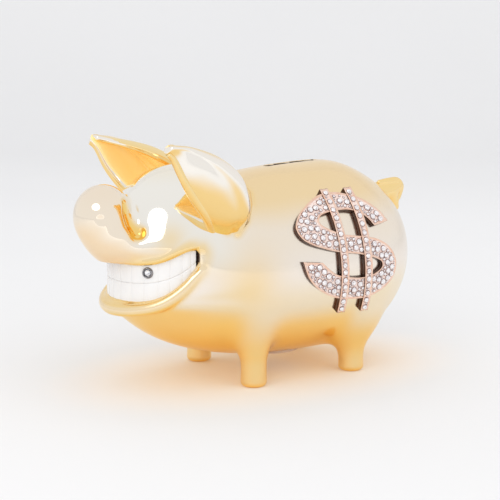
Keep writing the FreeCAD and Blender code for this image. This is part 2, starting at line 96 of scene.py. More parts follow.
def spline(points, count):
    """A smooth curve through the points, any number of coordinates."""
    P = np.array(points, float)
    P = np.vstack([2 * P[0] - P[1], P, 2 * P[-1] - P[-2]])
    spans = len(P) - 3
    out = []
    for u in np.linspace(0, spans - 1e-9, count):
        i = int(u)
        t = u - i
        a, b, c, d = P[i:i + 4]
        out.append(0.5 * (2 * b + (c - a) * t + (2 * a - 5 * b + 4 * c - d) * t**2
                          + (3 * b - a - 3 * c + d) * t**3))
    return np.array(out)


def rod(q, z, radius, low, high, edge):
    """An upright round bar with rounded ends."""
    a = q - radius + edge
    b = np.maximum(low - z, z - high) + edge
    flat = np.minimum(np.maximum(a, b), 0)
    return flat + np.hypot(np.maximum(a, 0), np.maximum(b, 0)) - edge


# ---------------------------------------------------------------- the pig's shell
TILT = math.radians(2.54)
BODY = (59.6, 139.3, 64.9, 2.4)
CHAMBER = (55.6, 124.5, 60.9, 2.0)


def egg(p, shape=BODY):
    radius, front, rear, power = shape
    y = p[:, 1] - 44.2
    z = p[:, 2] - 70.9
    s = math.cos(TILT) * y + math.sin(TILT) * z
    w = -math.sin(TILT) * y + math.cos(TILT) * z
    length = front + (rear - front) * step(s, -34, 34)
    a = np.abs(s / length)
    n = np.where(s < 0, power, 2.0)
    f = (p[:, 0] / radius) ** 2 + (w / radius) ** 2 + a**n
    slope = np.sqrt((p[:, 0] / radius**2) ** 2 + (w / radius**2) ** 2
                    + (n / 2 * np.maximum(a, 1e-6) ** (n - 1) / length) ** 2) + 1e-9
    k0 = np.sqrt(f)
    return k0 * (k0 - 1) / slope


# The mouth runs round an upright ellipse; places on it are angles from straight ahead.
MOUTH_Y, MOUTH_X, MOUTH_L = -52.0, 41.0, 41.5
MOUTH_END, TEETH_END = 81.5, 79.8


def mouth_point(phi, rx, ry, z=0.0):
    a = np.radians(phi)
    return np.stack([rx * np.sin(a), MOUTH_Y - ry * np.cos(a), z * np.ones_like(a)], -1)


def lower_z(phi):
    return np.interp(np.abs(phi), [0, 29, 42, 52, 59, 65, 71, 75, 78, 82, 85],
                     [54.8, 55.2, 56.4, 58.7, 61.1, 64, 67.5, 70.6, 73.6, 78, 82])


def upper_z(phi):
    return np.interp(np.abs(phi), [0, 13, 34, 47, 55, 63, 71, 77, 85],
                     [76.4, 76.8, 77.5, 78.9, 81, 83.6, 85.8, 87.3, 88.6])


def smooth(v):
    return np.convolve(np.pad(v, 2, mode="edge"), np.ones(5) / 5, "valid")


def lip_paths():
    phi = np.linspace(-84, 84, 57)
    a = np.abs(phi)
    low = mouth_point(phi, 42.6, 42.8)
    low[:, 2] = smooth(np.interp(a, [0, 19, 28, 45, 52, 59, 66, 73, 79, 84],
                                 [49.3, 50.2, 51, 53.4, 55.4, 58, 61.8, 66.6, 71.2, 76.5]))
    ledge = mouth_point(phi, 40.6, 41.0)
    ledge[:, 2] = smooth(lower_z(phi) - 1.6)
    high = mouth_point(phi, 41.6, 42.1)
    high[:, 2] = smooth(np.interp(a, [0, 22, 40, 48, 56, 63, 68, 74, 80, 84],
                                  [78.9, 79.2, 79.8, 80.5, 82.4, 85.3, 87.4, 89.5, 89.8, 87.5]))
    corners = []
    for side in (1, -1):
        c = mouth_point(np.array([84, 87, 87.5, 84]) * side, 42.2, 42.6)
        c[:, 2] = [87.6, 85.2, 81.2, 76.5]
        corners.append(spline(c, 10))
    return {
        "low": (low, 3.7 - 0.7 * step(a, 60, 84)),
        "ledge": (ledge, 2.4 - 0.6 * step(a, 60, 84)),
        "high": (high, 2.1 + 0.7 * step(a, 50, 72) - 0.3 * step(a, 76, 84)),
        "corners": corners,
    }


LIPS = lip_paths()
LEGS = ((35, -18), (-35, -18), (34, 54), (-34, 54))


def legs(p):
    d = np.full(len(p), 1e3, np.float32)
    z = p[:, 2]
    radius = 8.2 - 0.4 * np.sin(np.clip(z / 20, 0, 1) * np.pi) + 3.2 * step(z, 14, 44)
    for x, y in LEGS:
        q = np.hypot(p[:, 0] - x, p[:, 1] - y)
        d = np.minimum(d, rod(q, z, radius, 0.0, 60.0, 3.0))
    return d


CREASE = [(13, -91.5, 112.5), (17.3, -92.0, 107), (21, -91, 101.5), (24.0, -88.2, 96.8)]
CREASE_R = [0.3, 0.9, 1.8, 3.3]
EAR_RIDGE = [(20, -20, 121), (30, -20.5, 116.5), (37, -24, 110.5), (43, -29.5, 102.5), (46, -35.5, 95.5)]
EAR_RIDGE_R = [0.6, 2.0, 2.6, 2.4, 1.2]
EAR_DIP = [(29, -28, 116.5), (35.5, -29.5, 110.5), (41, -34.5, 103.5), (44.5, -41, 97)]
EAR_DIP_R = [0.6, 1.3, 1.3, 0.6]


def head(p):
    dome = ball(p, (0, -50, 90), 42)
    cheeks = ball(p, (0, -36, 74), (44, 36, 30))
    muzzle = ball(p, (0, -54, 89), (41, 43, 16))
    jaw = ball(p, (0, -52, 58), (41, 41, 11))
    stem = ball(p, (0, -92, 92.8), (24, 17.4, 16.2))
    bulb = ball(p, (0, -98.8, 104.3), (18.5, 16.8, 18.3), about_x(-10))
    d = smin(smin(dome, cheeks, 18), muzzle, 8)
    d = smin(d, smin(stem, bulb, 10), 4 + 10 * (1 - step(p[:, 2], 84, 98)))
    return smin(d, jaw, 8)


def outside(p):
    """The pig without any of its openings."""
    q = p.copy()
    q[:, 0] = np.abs(q[:, 0])
    body = smin(egg(p), ball(q, (27, 55, 40), (22.5, 21, 24)), 10)
    d = smin(body, head(p), 20)
    d = smin(d, legs(p), 14)
    d = smax(d, -tube(q, CREASE, CREASE_R), 6.0)
    d = smax(d, -ball(q, (18.4, -108.6, 104.6), 3.0), 3.0)
    d = smin(d, tube(q, EAR_RIDGE, EAR_RIDGE_R), 5.0)
    return smax(d, -tube(q, EAR_DIP, EAR_DIP_R), 3.0)


def mouth(p):
    phi = np.degrees(np.arctan2(p[:, 0] / MOUTH_X, -(p[:, 1] - MOUTH_Y) / MOUTH_L))
    ring = 37.0 - np.sqrt((p[:, 0] / MOUTH_X) ** 2 + ((p[:, 1] - MOUTH_Y) / MOUTH_L) ** 2) * 41
    d = np.maximum(ring, np.maximum(p[:, 2] - upper_z(phi) - 1.0, lower_z(phi) - 1.5 - p[:, 2]))
    return np.where(p[:, 1] > -40, 5.0, np.maximum(d, np.abs(phi) - MOUTH_END))


def lips(p):
    low = smin(tube(p, *LIPS["low"]), tube(p, *LIPS["ledge"]), 1.2)
    high = tube(p, *LIPS["high"])
    for corner in LIPS["corners"]:
        high = smin(high, tube(p, corner, 2.9), 1.5)
    return low, high


SLOT_HALF, SLOT_FROM, SLOT_TO = 2.5, 13.3, 45.6
PLUG_Y = 15


def slot_distance(p):
    """How far each point lies from the slot's middle line, seen from above."""
    return np.hypot(p[:, 0], p[:, 1] - np.clip(p[:, 1], SLOT_FROM, SLOT_TO))


def shell(p):
    d = smax(outside(p), -mouth(p), 1.5)
    low, high = lips(p)
    d = smin(smin(d, low, 2.5), high, 2.0)
    # coin chamber, plug seat and hole, coin slot
    r = np.hypot(p[:, 0], p[:, 1] - PLUG_Y)
    room = smin(egg(p, CHAMBER), ball(p, (0, -50, 90), 34), 6)
    room = smax(room, -rod(r, p[:, 2], 22.0, 0.0, 20.6, 1.5), 2)
    d = smax(d, -room, 1.0)
    d = smax(d, -rod(r, p[:, 2], 18.5, -9.0, 14.2, 0.3), 0.8)
    d = smax(d, -rod(r, p[:, 2], 14.05, 0.0, 40.0, 0.2), 0.5)
    slot = np.maximum(slot_distance(p) - SLOT_HALF, 112 - p[:, 2])
    return smax(d, -slot, 1.3)


# ---------------------------------------------------------------- meshing a smooth solid
def sample(solid, low, high, cell):
    """Distances on a grid, worked out only in the blocks that the surface passes near."""
    size = 8
    blocks = np.ceil((np.array(high) - low) / (cell * size)).astype(int)
    d = np.empty(blocks * size, np.float32)
    edge = np.arange(size) * cell
    local = np.stack(np.meshgrid(edge, edge, edge, indexing="ij"), -1).reshape(-1, 3)
    index = np.stack(np.meshgrid(*[np.arange(n) for n in blocks], indexing="ij"), -1).reshape(-1, 3)
    corner = np.array(low) + index * size * cell
    middle = solid((corner + (size - 1) * cell / 2).astype(np.float32))
    view = d.reshape(blocks[0], size, blocks[1], size, blocks[2], size)
    reach = size * cell * 0.9 + 3.5
    for start in range(0, len(index), 256):
        part = slice(start, start + 256)
        near = np.abs(middle[part]) < reach
        for i, m, close in zip(index[part], middle[part], near):
            if not close:
                view[i[0], :, i[1], :, i[2], :] = m
        if near.any():
            spots = corner[part][near]
            p = (spots[:, None, :] + local[None]).reshape(-1, 3).astype(np.float32)
            values = solid(p).reshape(len(spots), size, size, size)
            for i, v in zip(index[part][near], values):
                view[i[0], :, i[1], :, i[2], :] = v
    return d


def nets(d, low, cell):
    """Vertices and quads of the surface where the grid's values change sign."""
    cells = np.array(d.shape) - 1
    crossings = []
    for axis in range(3):
        a = [slice(None)] * 3
        b = [slice(None)] * 3
        a[axis], b[axis] = slice(0, -1), slice(1, None)
        d0, d1 = d[tuple(a)], d[tuple(b)]
        hit = (d0 < 0) != (d1 < 0)
        where = np.argwhere(hit)
        v0, v1 = d0[hit], d1[hit]
        spot = where.astype(np.float64)
        spot[:, axis] += v0 / (v0 - v1)
        crossings.append((axis, where, spot, v0 < 0))
    keys, spots, rings, flips = [], [], [], []
    for axis, where, spot, inside in crossings:
        u, v = (axis + 1) % 3, (axis + 2) % 3
        corners = []
        for du, dv in ((-1, -1), (0, -1), (0, 0), (-1, 0)):
            c = where.copy()
            c[:, u] += du
            c[:, v] += dv
            corners.append(c)
        ring = np.stack(corners, 1)
        ok = np.all((ring >= 0) & (ring < cells), axis=(1, 2))
        ring, spot, inside = ring[ok], spot[ok], inside[ok]
        key = (ring[..., 0] * cells[1] + ring[..., 1]) * cells[2] + ring[..., 2]
        rings.append(key)
        flips.append(~inside)
        for k in range(4):
            keys.append(key[:, k])
            spots.append(spot)
    ids, inverse = np.unique(np.concatenate(keys), return_inverse=True)
    inverse = inverse.ravel()
    spots = np.concatenate(spots)
    count = np.bincount(inverse)
    verts = np.stack([np.bincount(inverse, weights=spots[:, k]) / count for k in range(3)], -1)
    quads = np.searchsorted(ids, np.concatenate(rings))
    flip = np.concatenate(flips)
    quads[flip] = quads[flip][:, ::-1]
    return verts * cell + np.array(low), quads


def slope(solid, p, e=0.25):
    """The distance's slope at each point, by central differences over e millimetres each way."""
    g = np.empty_like(p)
    for k in range(3):
        shift = np.zeros(3)
        shift[k] = e
        ahead, behind = solid((p + shift).astype(np.float32)), solid((p - shift).astype(np.float32))
        g[:, k] = (ahead - behind) / (2 * e)
    return g


def settle(solid, verts, cell, rounds=2):
    """Moves each vertex onto the surface by a few capped steps along its slope."""
    for _ in range(rounds):
        g = slope(solid, verts)
        d = solid(verts.astype(np.float32))
        shift = -(d / np.maximum((g**2).sum(1), 0.2))[:, None] * g
        size = np.linalg.norm(shift, axis=1, keepdims=True)
        verts = verts + shift * np.minimum(1, 0.45 * cell / np.maximum(size, 1e-9))
    return verts


def make_mesh(name, verts, faces, smooth_faces=True, material_index=None):
    me = bpy.data.meshes.new(name)
    corners = [tuple(int(i) for i in f) for f in faces]
    me.from_pydata((np.asarray(verts, float) * MM).tolist(), [], corners)
    me.polygons.foreach_set("use_smooth", np.full(len(me.polygons), smooth_faces))
    if material_index is not None:
        me.polygons.foreach_set("material_index", np.asarray(material_index, np.int32))
    me.update()
    obj = bpy.data.objects.new(name, me)
    bpy.context.scene.collection.objects.link(obj)
    return obj


def solid_mesh(name, solid, low, high, cell):
    low = np.array(low, float)
    verts, quads = nets(sample(solid, low, high, cell), low, cell)
    verts = settle(solid, verts, cell)
    obj = make_mesh(name, verts, quads)
    n = slope(solid, verts, 0.35)
    n /= np.maximum(np.linalg.norm(n, axis=1, keepdims=True), 1e-9)
    obj.data.normals_split_custom_set_from_vertices(n.tolist())
    return obj


# ---------------------------------------------------------------- rings and swept pieces
def loft(rings):
    """Quads between closed rows of points; the first and last rows are closed with fans."""
    rings = np.asarray(rings)
    rows, count = rings.shape[:2]
    verts = rings.reshape(-1, 3)
    faces = []
    for r in range(rows - 1):
        for c in range(count):
            n = (c + 1) % count
            faces.append((r * count + c, r * count + n, (r + 1) * count + n, (r + 1) * count + c))
    verts = np.vstack([verts, rings[0].mean(0), rings[-1].mean(0)])
    a, b = len(verts) - 2, len(verts) - 1
    last = (rows - 1) * count
    for c in range(count):
        n = (c + 1) % count
        faces.append((n, c, a))
        faces.append((last + c, last + n, b))
    return verts, faces


def lathe(profile, centre, axis, count=48):
    """A closed outline of (radius, height) pairs turned about an axis."""
    z = np.array(axis, float) / np.linalg.norm(axis)
    x = np.cross(z, (0.3, 0.2, 1.0) if abs(z[2]) < 0.9 else (1.0, 0, 0))
    x /= np.linalg.norm(x)
    y = np.cross(z, x)
    rings = []
    for radius, height in profile:
        a = np.arange(count) * 2 * math.pi / count
        rings.append(np.array(centre) + np.outer(np.cos(a) * radius, x) + np.outer(np.sin(a) * radius, y)
                     + z * height)
    return loft(rings)


# Rails of one ear, root to tip: front rim, back's middle, top rim.
EAR_FRONT = [(37, -45, 91), (42, -50, 98), (48, -57, 107), (51, -66, 118), (53, -73, 128), (53.5, -79, 139)]
EAR_BACK = [(39, -35, 93), (47, -34, 99.5), (56, -32.5, 109), (61, -40, 125.5), (60, -52.5, 137.5),
            (56, -68, 145)]
EAR_TOP = [(26, -27, 112), (27.5, -30, 123), (30, -37.5, 131.5), (33.8, -48.5, 138.2), (39.5, -59.5, 142.5),
           (46.5, -71, 145.6)]
EAR_ENDS = ((54.3, -83.4, 143.2), (56.4, -80.2, 146.8), (50.2, -79.0, 147.6))


def ear(name, side):
    """A cupped leaf with a thick rolled rim and a fold inside its hollow."""
    rows = 70
    rails = []
    for rail, end in zip((EAR_FRONT, EAR_BACK, EAR_TOP), EAR_ENDS):
        pts = np.array(rail + [end], float)
        pts[:, 0] *= side
        rails.append(spline(pts, rows))
    front, back, top = rails
    u = np.linspace(0, 1, 33)[:, None]
    rings, inners = [], []
    for k in range(rows):
        f, b, t = front[k], back[k], top[k]
        m = 2 * b - (f + t) / 2
        outer = (1 - u) ** 2 * f + 2 * u * (1 - u) * m + u**2 * t
        tangent = 2 * (1 - u) * (m - f) + 2 * u * (t - m)
        tangent /= np.linalg.norm(tangent, axis=1, keepdims=True) + 1e-9
        width = np.linalg.norm(t - f)
        after, before = min(k + 1, rows - 1), max(k - 1, 0)
        along = front[after] - front[before] + top[after] - top[before]
        along /= np.linalg.norm(along) + 1e-9
        inward = np.cross(tangent, along)
        inward /= np.linalg.norm(inward, axis=1, keepdims=True) + 1e-9
        if np.dot(inward[16], (f + t) / 2 - b) < 0:
            inward = -inward
        share = k / (rows - 1)
        thick = min(4.0, 0.3 * width + 3.2)
        v = u[:, 0]
        # the hollow's floor has one long fold that runs from the root towards the tip
        fold = 1.1 * np.exp(-((v - 0.60) / 0.07) ** 2) - 0.9 * np.exp(-((v - 0.72) / 0.06) ** 2)
        fold *= math.sin(math.pi * min(1, share * 1.35)) * (share < 0.74)
        open_part = 1 - step(share, 0.6, 1.0)
        swell = 1 + open_part * (0.40 * np.exp(-(v / 0.10) ** 2) + 0.30 * np.exp(-((1 - v) / 0.10) ** 2))
        bead = open_part * (1.5 * np.exp(-(v / 0.13) ** 2) - 1.1 * np.exp(-((v - 0.29) / 0.07) ** 2))
        outer = outer - inward * bead[:, None]
        depth = thick * swell + fold * min(1, width / 14)
        inner = outer + inward * depth[:, None]
        half = np.linspace(0, math.pi, 9)[1:-1]
        rim_top, rim_front = [], []
        for a in half:
            mid_t = (outer[-1] + inner[-1]) / 2
            mid_f = (outer[0] + inner[0]) / 2
            rt, rf = (outer[-1] - inner[-1]) / 2, (inner[0] - outer[0]) / 2
            reach_t = np.linalg.norm(rt)
            reach_f = np.linalg.norm(rf)
            rim_top.append(mid_t + rt * math.cos(a) + tangent[-1] * reach_t * math.sin(a))
            rim_front.append(mid_f + rf * math.cos(a) - tangent[0] * reach_f * math.sin(a))
        ring = np.vstack([outer, rim_top, inner[::-1], rim_front])
        rings.append(ring)
        inners.append(t + inward[-1] * 2.0)
    # round the tip off
    inside_from, inside_to = 33 + 6, 33 + 7 + 33 + 1
    cols = len(rings[0])
    inside = [inside_from <= c < inside_to for c in range(cols)]
    tip_ring = rings[-1]
    centre = tip_ring.mean(0)
    way = np.array([0.0, -0.50, 0.50])
    for a in (0.3, 0.55, 0.78, 0.93, 0.99):
        rings.append(centre + (tip_ring - centre) * math.sqrt(1 - a * a) + way * 2.2 * a)
    verts, faces = loft(rings)
    index = [int(inside[k % cols]) for k in range(cols * (len(rings) - 1))]
    index += [0] * (len(faces) - len(index))
    if side > 0:
        faces = [f[::-1] for f in faces]
    for line, size in ((front, 2.9), (np.array(inners), 3.5)):
        bead_verts, bead_faces = roll(line[:-1], size, 1.5)
        faces += [tuple(i + len(verts) for i in f) for f in bead_faces]
        index += [2] * len(bead_faces)
        verts = np.vstack([verts, bead_verts])
    return make_mesh(name, verts, faces, material_index=index)


def roll(line, size, end_size):
    """A rolled rim: a round bar along the line, thinner towards its end."""
    turn = np.linspace(0, 2 * math.pi, 19)[:-1, None]
    rings = []
    for k, place in enumerate(line):
        run = line[min(k + 1, len(line) - 1)] - line[max(k - 1, 0)]
        run /= np.linalg.norm(run)
        a = np.cross(run, (0, 0, 1.0))
        a /= np.linalg.norm(a)
        radius = size + (end_size - size) * step(k / len(line), 0.45, 1.0)
        rings.append(place + radius * (np.cos(turn) * a + np.sin(turn) * np.cross(run, a)))
    return loft(rings)


def tail_solid(p):
    """A stubby wedge with a curl over its top and a blunt tip that points down."""
    stem = tube(p, [(0, 94, 105), (0, 103, 107.5), (0, 112, 109.5)], [8.2, 6.8, 5.0], 30)
    tip = tube(p, [(0, 106, 106.5), (0.5, 110.5, 100.5), (1.0, 111.8, 96.6)], [6.0, 4.2, 2.9], 30)
    curl = spline([(3.5, 97, 113.6, 1.8), (3.2, 105, 114.2, 2.2), (2.0, 112, 113.8, 2.5),
                   (0.5, 116.3, 110.2, 2.6), (0.2, 116.0, 105.6, 2.2), (1.6, 114.4, 102.8, 1.6)], 40)
    d = smin(stem, tip, 5.0)
    return smin(d, tube(p, curl[:, :3], curl[:, 3], 30), 2.2)


# ---------------------------------------------------------------- teeth
TOOTH_DEPTH = 3.6
TOOTH_EDGES = np.array([-84, -76, -69, -59, -49, -37, -25, -12, 0, 12, 25, 37, 49, 59, 69, 76, 84.0])


def middle_z(phi):
    return 66.5 + 16.0 * (np.abs(phi) / 84.0) ** 4


def teeth(name, upper):
    """One row of rounded teeth round the front of the mouth, as a closed curved strip."""
    cols, rows = 421, 25
    phi = np.linspace(-TEETH_END, TEETH_END, cols)
    gap = 0.02
    if upper:
        z0, z1 = middle_z(phi) + gap, upper_z(phi) + 0.9
    else:
        z0, z1 = lower_z(phi) - 1.2, middle_z(phi) - gap
    z1 = np.maximum(z1, z0 + 0.4)
    edge = np.abs(phi[:, None] - TOOTH_EDGES[None]).min(1) * MOUTH_X * math.pi / 180
    rings = []
    for c in range(cols):
        z = np.linspace(z0[c], z1[c], rows)
        to_middle = (z - z0[c]) if upper else (z1[c] - z)
        dip = 0.22 * np.exp(-(edge[c] / 0.35) ** 2) + 0.22 * np.exp(-(edge[c] / 1.6) ** 2)
        round_off = 0.20 * np.exp(-(to_middle / 0.4) ** 2) + 0.12 * np.exp(-(to_middle / 1.4) ** 2)
        here = np.full(rows, phi[c])
        back = dip + round_off
        front = mouth_point(here, MOUTH_X - back, MOUTH_L - back)
        front[:, 2] = z
        rear = mouth_point(here, MOUTH_X - TOOTH_DEPTH, MOUTH_L - TOOTH_DEPTH)
        rear[:, 2] = z
        rings.append(np.vstack([front, rear[::-1]]))
    verts, faces = loft(rings)
    return make_mesh(name, verts, faces)


# ---------------------------------------------------------------- cut stones
STONE_SIDES = 8


def brilliant(centre, normal, radius, height, turn):
    """A round cut stone: table, two rings of crown facets, girdle and a flat foot."""
    z = np.array(normal, float) / np.linalg.norm(normal)
    x = np.cross(z, (0.0, 0.3, 1.0))
    x /= np.linalg.norm(x)
    y = np.cross(z, x)

    def ring(r, h, offset):
        a = turn + (np.arange(STONE_SIDES) + offset) * 2 * math.pi / STONE_SIDES
        return np.array(centre) + np.outer(np.cos(a) * r, x) + np.outer(np.sin(a) * r, y) + z * h

    table = ring(radius * 0.50, height, 0.5)
    star = ring(radius * 0.80, height * 0.66, 0.0)
    girdle = ring(radius, height * 0.22, 0.5)
    foot = ring(radius * 0.96, 0.0, 0.5)
    verts = np.vstack([table, star, girdle, foot])
    n = STONE_SIDES
    faces = [tuple(range(n)), tuple(3 * n + k for k in reversed(range(n)))]
    for k in range(n):
        before, after = (k - 1) % n, (k + 1) % n
        faces.append((k, before, n + k))
        faces.append((k, n + k, 2 * n + k, n + after))
        faces.append((2 * n + before, 2 * n + k, n + k))
        faces.append((2 * n + k, 2 * n + before, 3 * n + before, 3 * n + k))
    return verts, faces


def join(pieces):
    verts, faces = [], []
    base = 0
    for v, f in pieces:
        verts.append(v)
        faces.extend(tuple(i + base for i in face) for face in f)
        base += len(v)
    return np.vstack(verts), faces


# ---------------------------------------------------------------- the sign on the flank
def flank(y, z, height):
    """Points of the left flank seen from the side at (y, z), standing off it by a height."""
    y = np.asarray(y, float)
    z = np.asarray(z, float)
    lo = np.full(y.shape, 15.0)
    hi = np.full(y.shape, 75.0)
    for _ in range(22):
        mid = (lo + hi) / 2
        out = egg(np.stack([mid.ravel(), y.ravel(), z.ravel()], -1)).reshape(y.shape) > SIGN_TOP
        hi = np.where(out, mid, hi)
        lo = np.where(out, lo, mid)
    p = np.stack([lo, y, z], -1)
    flat = p.reshape(-1, 3)
    n = np.stack([(egg(flat + e) - egg(flat - e)) for e in np.eye(3) * 0.2], -1)
    n /= np.linalg.norm(n, axis=1, keepdims=True)
    n = n.reshape(p.shape)
    return p + n * (np.asarray(height)[..., None] - SIGN_TOP), n


SIGN_TOP = 2.7
# Stations along the S, its left side and its right side, from the upper right arm to the lower
# left one, each a (y, z) pair.
S_STATIONS = [
    (66, 96.5, 53.5, 94.7), (60.5, 103.3, 50.2, 98.9), (50, 110.5, 45.2, 102.6), (40, 113.8, 38.7, 104.7),
    (30, 115, 31, 105), (20, 113.3, 24.2, 104.2), (10, 108.3, 18.8, 103), (3, 103, 16.2, 101),
    (-0.5, 96.5, 15.6, 99), (2, 90.5, 17.2, 97), (8, 86.5, 20, 95.3), (16, 83.7, 24, 93.5),
    (24, 81.5, 30.5, 91.2), (33, 80, 38, 90.1), (41, 78.7, 46, 88.9), (49, 76.5, 54.5, 86.7),
    (55.5, 73.6, 64, 81), (57, 70.6, 70, 71.5), (54.6, 68, 67.6, 62), (48.6, 65.5, 58.5, 55.2),
    (41, 64.7, 47, 51.5), (33, 65.6, 35, 51.7), (24, 67.8, 23, 53.8), (18.2, 71.6, 11.5, 59.8),
    (15.4, 74.2, 4.5, 67.2), (13.5, 75.9, 0.8, 77.2),
]
BARS = {"front": ((26.7, 116.6), (30.2, 43.6)), "rear": ((43.2, 116.8), (47.6, 42.8))}
BAR_HALF = 2.75
RIM_WIDTH = 0.75
S_TOP, BAR_TOP, FIELD_SUNK = 2.7, 3.15, 0.5


def ribbon(left, right, top, foot=-0.6):
    """A raised strip between two edge curves: side walls in a dark painted shade, fine rims and a sunk
    field.
    """
    width = np.linalg.norm(right - left, axis=1)
    count = len(left)
    border = RIM_WIDTH
    rings, marks = [], []
    for k in range(count):
        b = min(0.4, border / width[k])
        c = min(0.45, (border + 0.35) / width[k])
        end = min(k, count - 1 - k)
        # (share across, height, material of the face that follows)
        field = top - FIELD_SUNK
        cells = [(0, foot, 1), (0, top - 0.25, 0), (0.2 * b, top, 0), (0.8 * b, top + 0.05, 0)]
        cells += [(c, field, 2)]
        cells += [(s, field, 2) for s in np.linspace(c, 1 - c, 9)[1:-1]]
        cells += [(1 - c, field, 0), (1 - 0.8 * b, top + 0.05, 0), (1 - 0.2 * b, top, 0)]
        cells += [(1, top - 0.25, 1), (1, foot, 1)]
        share = np.array([s for s, h, m in cells])
        high = np.array([h for s, h, m in cells])
        if end < 2:
            lift = top if end else top - 0.25
            high = np.where(high > 0, np.maximum(high, lift), high)
        yz = left[k] + (right[k] - left[k]) * share[:, None]
        p, _ = flank(yz[:, 0], yz[:, 1], high)
        rings.append(p)
        marks = [m for s, h, m in cells]
    verts, faces = loft(rings)
    cols = len(marks)
    index = []
    for k in range(count - 1):
        for c in range(cols):
            mark = marks[c]
            if (k < 2 or k > count - 4) and mark == 2:
                mark = 0
            index.append(mark)
    index += [1] * (len(faces) - len(index))
    return verts, faces, index


def s_curves():
    """The S's two edges."""
    st = spline(S_STATIONS, 190)
    return st[:, :2], st[:, 2:]


def bar_curves(name, count=90):
    """The two edges of a bar."""
    top, low = [np.array(v, float) for v in BARS[name]]
    along = (low - top) / np.linalg.norm(low - top)
    side = np.array([-along[1], along[0]])
    if side[0] > 0:
        side = -side
    t = np.linspace(0, 1, count)[:, None]
    mid = top + (low - top) * t
    bow = 0.25 * np.sin(np.linspace(0, math.pi, count))[:, None] * np.array([0.6, 0])
    return mid + bow + side * BAR_HALF, mid + bow - side * BAR_HALF



def scatter_s(rng):
    """Spots for the S's stones: a few rows of large ones, then smaller ones in the gaps."""
    left, right = s_curves()
    width = np.linalg.norm(right - left, axis=1)
    middle = (left + right) / 2
    chosen = []
    bars = [bar_curves(name, 30) for name in ("front", "rear")]

    def clear(y, z, r):
        for a, b in bars:
            mid = (a + b) / 2
            if np.abs(np.interp(z, mid[::-1, 1], mid[::-1, 0]) - y) < BAR_HALF + r * 0.75:
                return False
        return all((y - c[0]) ** 2 + (z - c[1]) ** 2 > (r + c[2] + 0.24) ** 2 for c in chosen)
    for radius, tries in ((1.82, 5000), (1.5, 2600), (0.95, 2600), (0.6, 4200)):
        for _ in range(tries):
            k = rng.randrange(3, len(left) - 3)
            room = (radius + 1.25) / width[k]
            if room > 0.49:
                continue
            s = rng.uniform(room, 1 - room)
            y, z = left[k] + (right[k] - left[k]) * s
            if clear(y, z, radius):
                chosen.append((y, z, radius))
    return chosen


def stones(name, spots, field, seed):
    rng = random.Random(seed)
    pieces = []
    seats = []
    for y, z, radius in spots:
        p, n = flank(np.array([y]), np.array([z]), np.array([field]))
        lean = n[0] + np.array([rng.uniform(-0.07, 0.07) for _ in range(3)])
        pieces.append(brilliant(p[0], lean, radius, radius * 0.72, rng.uniform(0, 1)))
        seats.append((p[0], n[0], radius))
    verts, faces = join(pieces)
    return make_mesh(name, verts, faces, smooth_faces=False), seats


def seat_rings(seats):
    """A thin dark cup round each stone, lying on the field."""
    pieces = []
    for p, n, r in seats:
        outline = [(r + 0.26, -0.2), (r + 0.26, 0.10), (r + 0.12, 0.2), (r * 0.9, 0.12), (r * 0.9, -0.2)]
        pieces.append(lathe(outline, p, n, 14))
    return join(pieces)


# ---------------------------------------------------------------- materials
class Look:
    """A node material with short names for the nodes it needs."""

    def __init__(self, name):
        self.mat = bpy.data.materials.new(name)
        self.mat.use_nodes = True
        self.tree = self.mat.node_tree
        self.bsdf = self.tree.nodes["Principled BSDF"]
        self.place = self.node("ShaderNodeTexCoord").outputs["Object"]

    def node(self, kind, **values):
        n = self.tree.nodes.new(kind)
        for key, value in values.items():
            setattr(n, key, value)
        return n

    def link(self, a, b):
        self.tree.links.new(a, b)

    def set(self, **values):
        for key, value in values.items():
            self.bsdf.inputs[key.replace("_", " ")].default_value = value

    def noise(self, scale, detail=3.0):
        n = self.node("ShaderNodeTexNoise")
        n.inputs["Scale"].default_value = scale
        n.inputs["Detail"].default_value = detail
        self.link(self.place, n.inputs["Vector"])
        return n.outputs["Fac"]

    def ramp(self, source, stops):
        n = self.node("ShaderNodeValToRGB")
        n.color_ramp.interpolation = "EASE"
        while len(n.color_ramp.elements) < len(stops):
            n.color_ramp.elements.new(0.5)
        for element, (at, colour) in zip(n.color_ramp.elements, stops):
            element.position = at
            element.color = (*colour, 1)
        self.link(source, n.inputs["Fac"])
        return n.outputs["Color"]

    def range(self, source, a, b, c=0.0, d=1.0):
        n = self.node("ShaderNodeMapRange", interpolation_type="SMOOTHSTEP")
        for key, value in zip(("From Min", "From Max", "To Min", "To Max"), (a, b, c, d)):
            n.inputs[key].default_value = value
        self.link(source, n.inputs["Value"])
        return n.outputs["Result"]

    def mix(self, factor, a, b):
        n = self.node("ShaderNodeMix", data_type="RGBA")
        # inputs 0, 6 and 7 are the factor and the two colours
        for index, value in ((0, factor), (6, a), (7, b)):
            socket = n.inputs[index]
            if isinstance(value, (int, float)):
                socket.default_value = value
            elif isinstance(value, tuple):
                socket.default_value = (*value, 1)
            else:
                self.link(value, socket)
        return n.outputs[2]

    def math(self, operation, a, b=0.0):
        n = self.node("ShaderNodeMath", operation=operation)
        for socket, value in ((n.inputs[0], a), (n.inputs[1], b)):
            if isinstance(value, (int, float)):
                socket.default_value = value
            else:
                self.link(value, socket)
        return n.outputs[0]

    def split(self, source):
        n = self.node("ShaderNodeSeparateXYZ")
        self.link(source, n.inputs[0])
        return n.outputs

    def colour(self, source):
        self.link(source, self.bsdf.inputs["Base Color"])

    def rough(self, source):
        self.link(source, self.bsdf.inputs["Roughness"])


